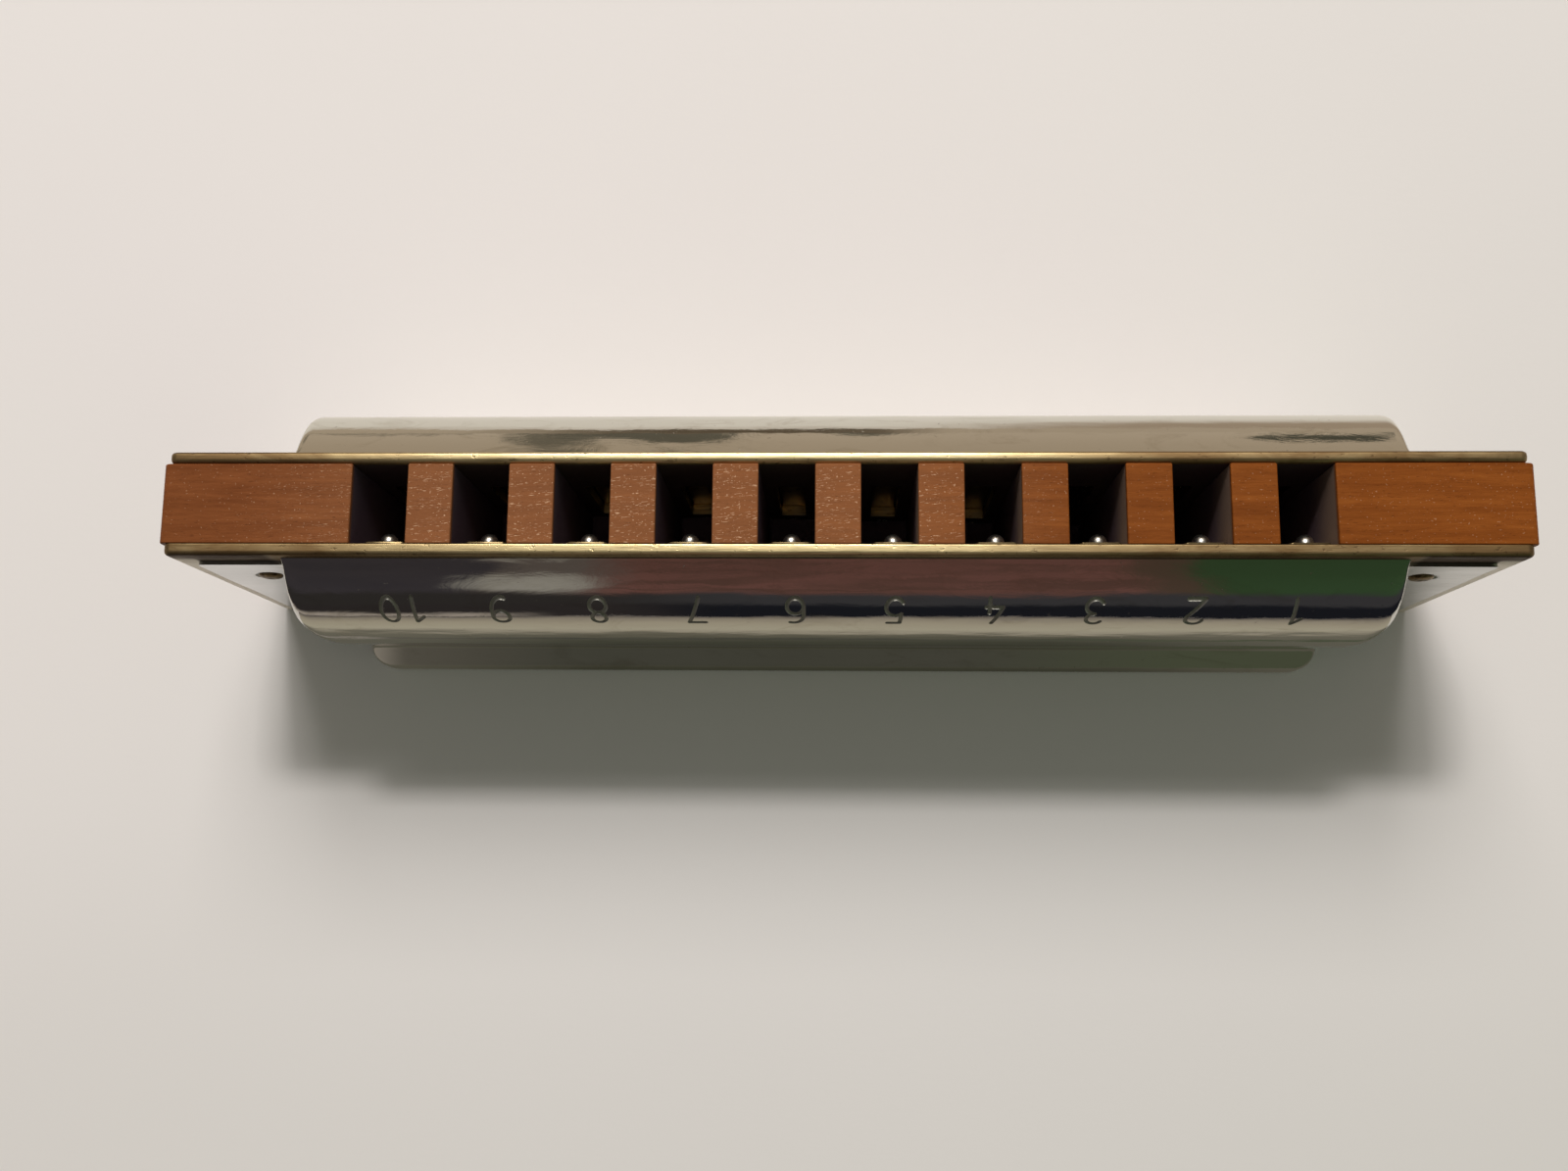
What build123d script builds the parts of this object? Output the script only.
from build123d import *
import math
import os

# Ten-hole diatonic harmonica, standing on its rear edges.
# Axes: +Z points out of the mouthpiece face, X runs along the length with hole 1 at +X,
# the numbered blow cover faces -Y and the draw cover faces +Y.
# Origin: centre of the rear plane that the instrument stands on.
# Throughout, d is the depth behind the mouthpiece face, h is the height above the outer
# face of a reed plate, and side is BLOW or DRAW, which is also the sign of that side's Y.

BLOW, DRAW = -1, 1

# ---- driving dimensions, millimetres ----
comb_length = 100.0
comb_depth = 26.5
comb_thickness = 6.0
comb_corner_radius = 0.5

hole_count = 10
hole_pitch = 7.5
hole_width = 4.15
# one per hole, from hole 1
chamber_depth = [23.0, 22.2, 21.4, 20.5, 19.7, 19.0, 18.4, 17.8, 17.2, 16.7]

plate_length = 99.3
plate_depth = 26.0
plate_thickness = 0.9
plate_edge_radius = 0.3

reed_width = 2.0
reed_thickness = 0.2
reed_side_clearance = 0.05
reed_tip_clearance = 0.08
slot_root_extra = 0.1
reed_lift = 0.02
root_gap = 0.02
blow_root_depth = 3.9
draw_tip_depth = 7.4
# the blow reeds and their slots sit a little towards hole 1
reed_shift = {BLOW: 0.3, DRAW: 0.0}
# one per hole, from hole 1
reed_length = {
    BLOW: [15.0, 14.0, 13.0, 12.0, 11.2, 10.6, 10.0, 9.5, 9.1, 8.8],
    DRAW: [14.6, 13.5, 12.4, 11.5, 10.8, 10.3, 9.9, 9.5, 9.1, 8.8],
}

pad_width = 3.1
pad_length = 3.0
pad_thickness = 0.28

rivet_radius = 0.45
rivet_head_radius = 0.64
rivet_head_height = 0.9
rivet_inset = 1.5
rivet_tail_radius = 0.6
rivet_tail_height = 0.15

sheet = 0.28
raised_half_length = 41.1
tab_half_length = 48.0
tab_front = 2.4
tab_rear = 24.6
tab_corner_radius = 0.4
tab_relief_radius = 0.35
cover_shift = {BLOW: 0.0, DRAW: 0.5}

digit_stroke = 0.24
digit_width = 1.4
digit_gap = 0.8
digit_cut = 0.11
digit_pitch = 7.37
digit_offset = 0.52
digit_front = 2.95
digit_rear = 5.6

nail_radius = 0.5
nail_head_radius = 0.95
nail_head_height = 0.35
nail_bite = 2.4
# (x, d)
plate_nail_places = [(-38.3, 4.0), (38.3, 4.0), (-38.3, 22.8), (38.3, 22.8), (0.0, 22.4)]
cover_nail_x = 44.0
cover_nail_depth = 6.9
cover_nail_head_radius = 0.92
cover_nail_dome = 0.18
cover_nail_dome_steps = 8
countersink_radius = 1.05
countersink_start = 0.02

# how far most cutting blocks and bars run past the part they cut
overrun = 1.0
tolerance = 1e-6

# ---- derived places ----
half = comb_thickness / 2
face = half + plate_thickness
# the plate face that the reeds of each side lie on: inner for blow, outer for draw
reed_face = {BLOW: -half, DRAW: face}
# how much the countersink widens per millimetre of height
sink_slope = (countersink_radius - nail_radius) / (sheet - countersink_start)

# (x, d, side) of every nail
plate_nail_spots = [(x, d, side) for x, d in plate_nail_places for side in (BLOW, DRAW)]
cover_nail_spots = [
    (x + cover_shift[side], cover_nail_depth, side)
    for x in (-cover_nail_x, cover_nail_x)
    for side in (BLOW, DRAW)
]


def z_at(d):
    return comb_depth - d


def pitches_from_middle(k):
    return hole_count / 2 + 0.5 - k


def hole_x(k):
    return pitches_from_middle(k) * hole_pitch


def reed_x(k, side):
    return hole_x(k) + reed_shift[side]


def reed_ends(k, side):
    """Depths of a reed's root and tip. Going from tip to root, d changes in the sense of side."""
    length = reed_length[side][k - 1]
    if side == BLOW:
        return blow_root_depth, blow_root_depth + length
    return draw_tip_depth + length, draw_tip_depth


# ---- basic shapes ----
def block(x0, x1, y0, y1, z0, z1):
    """A box between two opposite corners, given in either order."""
    return Box(abs(x1 - x0), abs(y1 - y0), abs(z1 - z0), align=(Align.MIN,) * 3).moved(
        Location((min(x0, x1), min(y0, y1), min(z0, z1)))
    )


def along_x(radius, length, x, y, z):
    """A round bar along X, centred on the given point."""
    return Cylinder(radius, length).moved(Location((x, y, z), (0, 90, 0)))


def along_y(radius, y0, y1, x, z):
    """A round bar whose axis runs along Y."""
    return Cylinder(radius, abs(y1 - y0), align=(Align.CENTER, Align.CENTER, Align.MIN)).moved(
        Location((x, max(y0, y1), z), (90, 0, 0))
    )


def point_outward(part, x, y, z, side):
    """Turns a part's +Z to side * Y, then moves its origin to the given point."""
    return part.rotate(Axis.X, -90 if side > 0 else 90).moved(Location((x, y, z)))


def ball_radius(radius, height):
    """Radius of the sphere whose cap has this base radius and height."""
    return (radius * radius + height * height) / (2 * height)


def dome(radius, height, x, y, z, side):
    """A low round head standing on the plane y, bulging towards side * Y."""
    with BuildPart() as made:
        with BuildSketch(Plane.XZ):
            with BuildLine():
                Line((0, 0), (radius, 0))
                RadiusArc((radius, 0), (0, height), -ball_radius(radius, height))
                Line((0, height), (0, 0))
            make_face()
        revolve(axis=Axis.Z)
    return point_outward(made.part, x, y, z, side)


def turned_profile(points, x, z, side):
    """Revolves (radius, h) points about a line along Y through x, z."""
    with BuildPart() as made:
        with BuildSketch(Plane.XZ):
            with BuildLine():
                Polyline(*points, close=True)
            make_face()
        revolve(axis=Axis.Z)
    return point_outward(made.part, x, side * face, z, side)


def outlined(plane, *curves):
    """A face bounded by curves: two points make a line, more make a spline."""
    with BuildSketch(plane) as made:
        with BuildLine():
            for points in curves:
                if len(points) == 2:
                    Line(*points)
                else:
                    Spline(*points)
        make_face()
    return made.sketch


def shift_left(points, amount):
    """Moves each point to the left of the chord joining its neighbours."""
    moved = []
    for i, (across, up) in enumerate(points):
        before = points[max(i - 1, 0)]
        after = points[min(i + 1, len(points) - 1)]
        run, rise = after[0] - before[0], after[1] - before[1]
        size = math.hypot(run, rise)
        moved.append((across - rise / size * amount, up + run / size * amount))
    return moved


# ---- nails: each bites into the comb through its plate, the cover nails through a tab too ----
def nail_hole(x, d, side, outside):
    """The hole for a shank, running the given distance outside the plate."""
    return along_y(
        nail_radius, side * (half - nail_bite), side * (face + outside), x, z_at(d)
    )


def plate_nail(x, d, side):
    """A dome-headed nail."""
    z = z_at(d)
    head = dome(nail_head_radius, nail_head_height, x, side * face, z, side)
    shank = along_y(nail_radius, side * (half - nail_bite), side * face, x, z)
    return head.fuse(shank).solids()[0]


def cover_nail(x, d, side):
    """A nail whose head sits in a countersink in the tab and stands a little proud of it."""
    rim = countersink_start + (cover_nail_head_radius - nail_radius) / sink_slope
    bottom = -(plate_thickness + nail_bite)
    ball = ball_radius(cover_nail_head_radius, cover_nail_dome)
    points = [(0, bottom), (nail_radius, bottom), (nail_radius, countersink_start)]
    for i in range(cover_nail_dome_steps + 1):
        r = cover_nail_head_radius * (1 - i / cover_nail_dome_steps)
        points.append((r, rim + cover_nail_dome - ball + math.sqrt(ball * ball - r * r)))
    return turned_profile(points, x, z_at(d), side).solids()[0]


def countersink(x, d, side):
    """The cutter for the matching hole in a tab, running past both faces of the sheet."""
    bottom = -0.5
    top = sheet + 0.2
    points = [
        (0, bottom),
        (nail_radius, bottom),
        (nail_radius, countersink_start),
        (nail_radius + sink_slope * (top - countersink_start), top),
        (0, top),
    ]
    return turned_profile(points, x, z_at(d), side)


def cut_nail_holes(body, sides):
    for x, d, side in plate_nail_spots:
        if side in sides:
            body -= nail_hole(x, d, side, outside=overrun)
    for x, d, side in cover_nail_spots:
        if side in sides:
            body -= nail_hole(x, d, side, outside=0)
    return body


# ---- comb: one piece of wood with ten open slots, closed on both sides by the plates ----
def comb():
    body = block(-comb_length / 2, comb_length / 2, -half, half, 0, comb_depth)
    body = fillet(body.edges().filter_by(Axis.Y), comb_corner_radius)
    for k in range(1, hole_count + 1):
        x = hole_x(k)
        body -= block(
            x - hole_width / 2,
            x + hole_width / 2,
            -half - overrun,
            half + overrun,
            z_at(chamber_depth[k - 1]),
            comb_depth + overrun,
        )
    return cut_nail_holes(body, (BLOW, DRAW))


# ---- reed plates: brass sheets with one reed slot per hole and a rounded front edge ----
def rivet_hole(k, side):
    root, _ = reed_ends(k, side)
    if side == BLOW:
        start, stop = -face - overrun, half - overrun
    else:
        start, stop = half, face + overrun
    return along_y(rivet_radius, start, stop, reed_x(k, side), z_at(root + side * rivet_inset))


def reed_plate(side):
    inner, outer = sorted((side * half, side * face))
    plate = block(
        -plate_length / 2, plate_length / 2, inner, outer, z_at(plate_depth), comb_depth
    )
    front_edges = [
        edge
        for edge in plate.edges().filter_by(Axis.X)
        if abs(edge.center().Z - comb_depth) < tolerance
    ]
    plate = fillet(front_edges, plate_edge_radius)
    slot_half_width = reed_width / 2 + reed_side_clearance
    for k in range(1, hole_count + 1):
        x = reed_x(k, side)
        root, tip = reed_ends(k, side)
        plate -= block(
            x - slot_half_width,
            x + slot_half_width,
            inner - overrun,
            outer + overrun,
            z_at(root + side * slot_root_extra),
            z_at(tip - side * reed_tip_clearance),
        )
    plate = cut_nail_holes(plate, (side,))
    for k in range(1, hole_count + 1):
        plate -= rivet_hole(k, side)
    return plate


# ---- reeds: a brass tongue per slot, and the riveted root it springs from ----
def tongue(k, side):
    """The free part of a reed. Its rounded root lies on the hinge line."""
    x = reed_x(k, side)
    base = reed_face[side] + reed_lift
    root, tip = reed_ends(k, side)
    blade = block(
        x - reed_width / 2,
        x + reed_width / 2,
        base,
        base + reed_thickness,
        z_at(root),
        z_at(tip),
    )
    knuckle = along_x(reed_thickness / 2, reed_width, x, base + reed_thickness / 2, z_at(root))
    return blade.fuse(knuckle).solids()[0]


def root_pad(k, side):
    """The thick riveted end of a reed, with a seat for the tongue's rounded root."""
    x = reed_x(k, side)
    base = reed_face[side]
    root, _ = reed_ends(k, side)
    pad = block(
        x - pad_width / 2,
        x + pad_width / 2,
        base,
        base + pad_thickness,
        z_at(root),
        z_at(root + side * pad_length),
    )
    seat = along_x(
        reed_thickness / 2 + root_gap,
        pad_width + overrun,
        x,
        base + reed_lift + reed_thickness / 2,
        z_at(root),
    )
    return (pad - seat - rivet_hole(k, side)).solids()[0]


def rivet(k, side):
    """A dome-headed rivet through the root pad and its plate; a blow rivet has a tail too."""
    x = reed_x(k, side)
    root, _ = reed_ends(k, side)
    z = z_at(root + side * rivet_inset)
    head_base = reed_face[side] + pad_thickness
    far_face = -face if side == BLOW else half
    body = dome(rivet_head_radius, rivet_head_height, x, head_base, z, +1)
    body = body.fuse(along_y(rivet_radius, far_face, head_base, x, z))
    if side == BLOW:
        body = body.fuse(
            along_y(rivet_tail_radius, far_face - rivet_tail_height, far_face, x, z)
        )
    return body.solids()[0]


# ---- covers: one pressed sheet each, with a raised channel, end walls and two flat tabs ----
# A cover is made with the raised side up in local (x, d, h), then turned into place.

# outer line of the raised section from its front foot, over the crown and into the crease,
# as (d, h)
cover_line = [
    (1.10, 0.00), (1.35, 0.42), (1.65, 0.95), (2.0, 1.5), (2.45, 2.12), (3.06, 2.80),
    (3.7, 3.34), (4.5, 3.84), (5.7, 4.30), (7.15, 4.58), (8.5, 4.75), (10.2, 4.84),
    (12.5, 4.80), (15.5, 4.56), (18.5, 4.18), (21.0, 3.80), (22.6, 3.56),
]
# the bead rises sharply out of the crease and rolls over to the rear, ending in a folded
# lip, as (d, h)
bead_line = [
    cover_line[-1], (23.35, 3.85), (24.1, 4.55), (24.85, 5.12), (25.6, 5.34),
    (26.2, 5.2), (26.48, 4.82), (26.38, 4.42), (26.02, 4.22),
]
bead_rearmost = 6  # index in bead_line
crease_underside = (22.62, 3.25)  # (d, h)
foot_extra = 0.06  # the front foot is this much thicker than the sheet

# half of the raised section's outline seen from the front, from its foot up, as (x, h)
end_line = [
    (raised_half_length, -0.5), (raised_half_length, 0.0), (41.02, 3.5), (40.93, 4.25),
    (40.66, 4.72), (40.1, 5.08), (39.2, 5.37), (38.1, 5.5), (37.0, 5.53),
]
inner_foot = -1.0  # h of the bottom of the inner cutter
inner_top = 8.0  # h of the top of the inner cutter, above the roof

section_half_span = 45.0
reach = 60.0  # half the length of the other long bars


def end_bar(line, foot, above=()):
    """A bar along d with a symmetrical end outline, closed over the points above."""
    foot_x = line[0][0]
    right = line[2:]
    left = [(-x, h) for x, h in right[::-1]]
    top = [right[-1], *above, left[0]]
    outline = outlined(
        Plane.XZ.offset(-reach),
        right,
        [(foot_x, foot), right[0]],
        *zip(top, top[1:]),
        left,
        [left[-1], (-foot_x, foot)],
        [(-foot_x, foot), (foot_x, foot)],
    )
    # the outline is drawn behind the part and runs forward through it
    return extrude(outline, amount=2 * reach, dir=(0, -1, 0))


def section_bar(half_span, *curves):
    """A bar along x whose section is given as (d, h) curves."""
    section = outlined(Plane.YZ.offset(-half_span), *curves)
    return extrude(section, amount=2 * half_span, dir=(1, 0, 0))


def raised_section():
    low = shift_left(cover_line, -sheet)
    low[0] = (cover_line[0][0] + sheet + foot_extra, 0.0)
    low_bead = shift_left(bead_line, -sheet)
    # the crease is shared by both lower curves
    low[-1] = low_bead[0] = crease_underside

    band_bar = section_bar(
        section_half_span,
        cover_line,
        bead_line,
        [bead_line[-1], low_bead[-1]],
        low_bead[::-1],
        low[::-1],
        [low[0], cover_line[0]],
    )
    # everything beneath the outer line, for the end walls
    rearmost = bead_line[bead_rearmost]
    rear_foot = (rearmost[0], 0.0)
    region_bar = section_bar(
        section_half_span,
        cover_line,
        bead_line[: bead_rearmost + 1],
        [rearmost, rear_foot],
        [rear_foot, cover_line[0]],
    )
    outer_bar = end_bar(end_line, end_line[0][1])
    # cuts above the roof too, so that only the end walls are left of the region
    inset = shift_left(end_line, sheet)
    top_x = inset[-1][0]
    inner_bar = end_bar(inset, inner_foot, [(top_x, inner_top), (-top_x, inner_top)])
    raised = band_bar & outer_bar
    walls = (region_bar & outer_bar) - inner_bar
    return raised + walls


def tab(end):
    """The flat tab at one end; end is the sign of its local x."""
    inner_x = end * (raised_half_length - sheet)
    body = block(inner_x, end * tab_half_length, tab_front, tab_rear, 0, sheet)
    outer_corners = [
        edge
        for edge in body.edges().filter_by(Axis.Z)
        if abs(abs(edge.center().X) - tab_half_length) < tolerance
    ]
    body = fillet(outer_corners, tab_corner_radius)
    # a small round relief where the tab's front edge meets the end wall
    relief = Cylinder(tab_relief_radius, 2.0).moved(
        Location((end * (raised_half_length + tab_relief_radius), tab_front, 0))
    )
    return body - relief


def plain_cover():
    return raised_section() + tab(-1) + tab(1)


# ---- hole numbers, sunk into the blow cover ----
def arc(cx, cy, rx, ry, start, end, steps=14):
    """Points on an elliptical arc between two angles in degrees."""
    angles = [math.radians(start + (end - start) * i / steps) for i in range(steps + 1)]
    return [(cx + rx * math.cos(a), cy + ry * math.sin(a)) for a in angles]


# centre lines of plain single-stroke figures, as polylines in a cell 1.0 wide and 2.0 tall
figure_cell_height = 2.0
figure_strokes = {
    "0": [arc(0.5, 1.0, 0.5, 1.0, 0, 360, 28)],
    "1": [[(0.12, 1.45), (0.62, 2.0), (0.62, 0.0)]],
    "2": [arc(0.5, 1.5, 0.5, 0.5, 170, -38) + [(0.0, 0.0), (1.0, 0.0)]],
    "3": [arc(0.48, 1.52, 0.46, 0.48, 150, -90), arc(0.48, 0.52, 0.52, 0.52, 90, -150)],
    "4": [[(0.78, 0.0), (0.78, 1.0)], [(0.62, 2.0), (0.0, 0.55), (1.0, 0.55)]],
    "5": [[(0.92, 2.0), (0.18, 2.0), (0.1, 1.08)], arc(0.45, 0.62, 0.55, 0.62, 128, -145)],
    "6": [arc(0.5, 0.55, 0.5, 0.55, 0, 360, 24), arc(1.05, 0.75, 1.05, 1.25, 118, 178)],
    "7": [[(0.0, 2.0), (1.0, 2.0), (0.35, 0.0)]],
    "8": [arc(0.5, 1.52, 0.42, 0.48, 0, 360, 22), arc(0.5, 0.52, 0.5, 0.52, 0, 360, 24)],
    "9": [arc(0.5, 1.45, 0.5, 0.55, 0, 360, 24), arc(-0.05, 1.25, 1.05, 1.25, -62, -2)],
}
prism_height = 9.0
mitre_floor = 0.12  # keeps sharp mitres from running far out
# the figures lie on this part of cover_line, between two depths
figure_zone = (1.9, 9.0)
figure_headroom = 0.4  # how far the cutting layer reaches above the sheet


def mitred_offset(points, amount, closed):
    """Moves a polyline to its left by amount, with mitred corners."""
    moved, count = [], len(points)
    for i, (x, y) in enumerate(points):
        before = points[i - 1] if i > 0 or closed else None
        after = points[(i + 1) % count] if i < count - 1 or closed else None
        normals = []
        for start, end in ((before, (x, y)), ((x, y), after)):
            if start and end:
                dx, dy = end[0] - start[0], end[1] - start[1]
                size = math.hypot(dx, dy)
                normals.append((-dy / size, dx / size))
        mean_x = sum(n[0] for n in normals) / len(normals)
        mean_y = sum(n[1] for n in normals) / len(normals)
        scale = amount / max(mean_x * mean_x + mean_y * mean_y, mitre_floor)
        moved.append((x + mean_x * scale, y + mean_y * scale))
    return moved


def prism(points):
    base = Face(Wire.make_polygon([(x, y, 0) for x, y in points], close=True))
    return extrude(base, amount=prism_height, dir=(0, 0, 1))


def stroke_prism(line, left):
    """An upright prism of one stroke of a figure whose cell starts at local x = left."""
    closed = math.dist(line[0], line[-1]) < tolerance
    tall = digit_rear - digit_front
    # the figures have their feet towards the mouthpiece
    points = [
        (left + u * digit_width, digit_front + v / figure_cell_height * tall)
        for u, v in (line[:-1] if closed else line)
    ]
    left_edge = mitred_offset(points, digit_stroke / 2, closed)
    right_edge = mitred_offset(points, -digit_stroke / 2, closed)
    if closed:
        # closed strokes run anticlockwise, so their right edge is the outer one
        return prism(right_edge) - prism(left_edge)
    return prism(left_edge + right_edge[::-1])


def stamp_figures(body):
    """Sinks the figures into the sheet by digit_cut, measured square to its surface."""
    near = [point for point in cover_line if figure_zone[0] < point[0] < figure_zone[1]]
    floor = shift_left(near, -digit_cut)
    above = shift_left(near, figure_headroom)
    layer_bar = section_bar(
        reach, floor, [floor[-1], above[-1]], above[::-1], [above[0], floor[0]]
    )
    for k in range(1, hole_count + 1):
        text = str(k)
        # local x is -X on the blow cover
        centre = -(digit_offset + pitches_from_middle(k) * digit_pitch)
        total = len(text) * digit_width + (len(text) - 1) * digit_gap
        for i, figure in enumerate(text):
            left = centre - total / 2 + i * (digit_width + digit_gap)
            for line in figure_strokes[figure]:
                body = body - (stroke_prism(line, left) & layer_bar)
    return body


def finish_cover(body, side):
    """Turns a cover from local (x, d, h) into place and cuts its countersinks.
    The blow cover is turned half round, so its local x is -X."""
    body = body.rotate(Axis.X, -90).moved(Location((0, face, comb_depth)))
    if side == BLOW:
        body = body.rotate(Axis.Z, 180)
    body = body.moved(Location((cover_shift[side], 0, 0)))
    for x, d, nail_side in cover_nail_spots:
        if nail_side == side:
            body -= countersink(x, d, side)
    return body


# ---- build and save ----
def save(shape, name):
    export_step(shape, os.path.join("parts", name + ".step"))


def save_group(solids, name):
    save(Compound(children=list(solids)), name)


os.makedirs("parts", exist_ok=True)

save(comb(), "comb")
cover = plain_cover()
save(finish_cover(stamp_figures(cover), BLOW), "blow_cover")
save(finish_cover(cover, DRAW), "draw_cover")

holes = range(1, hole_count + 1)
for side, name in ((BLOW, "blow"), (DRAW, "draw")):
    save(reed_plate(side), f"{name}_reed_plate")
    for k in holes:
        save(tongue(k, side), f"{name}_reed_{k}")
    save_group([root_pad(k, side) for k in holes], f"{name}_reed_roots")
    save_group([rivet(k, side) for k in holes], f"{name}_reed_rivets")
    save_group(
        [plate_nail(*spot) for spot in plate_nail_spots if spot[2] == side],
        f"{name}_plate_nails",
    )
save_group([cover_nail(*spot) for spot in cover_nail_spots], "cover_nails")
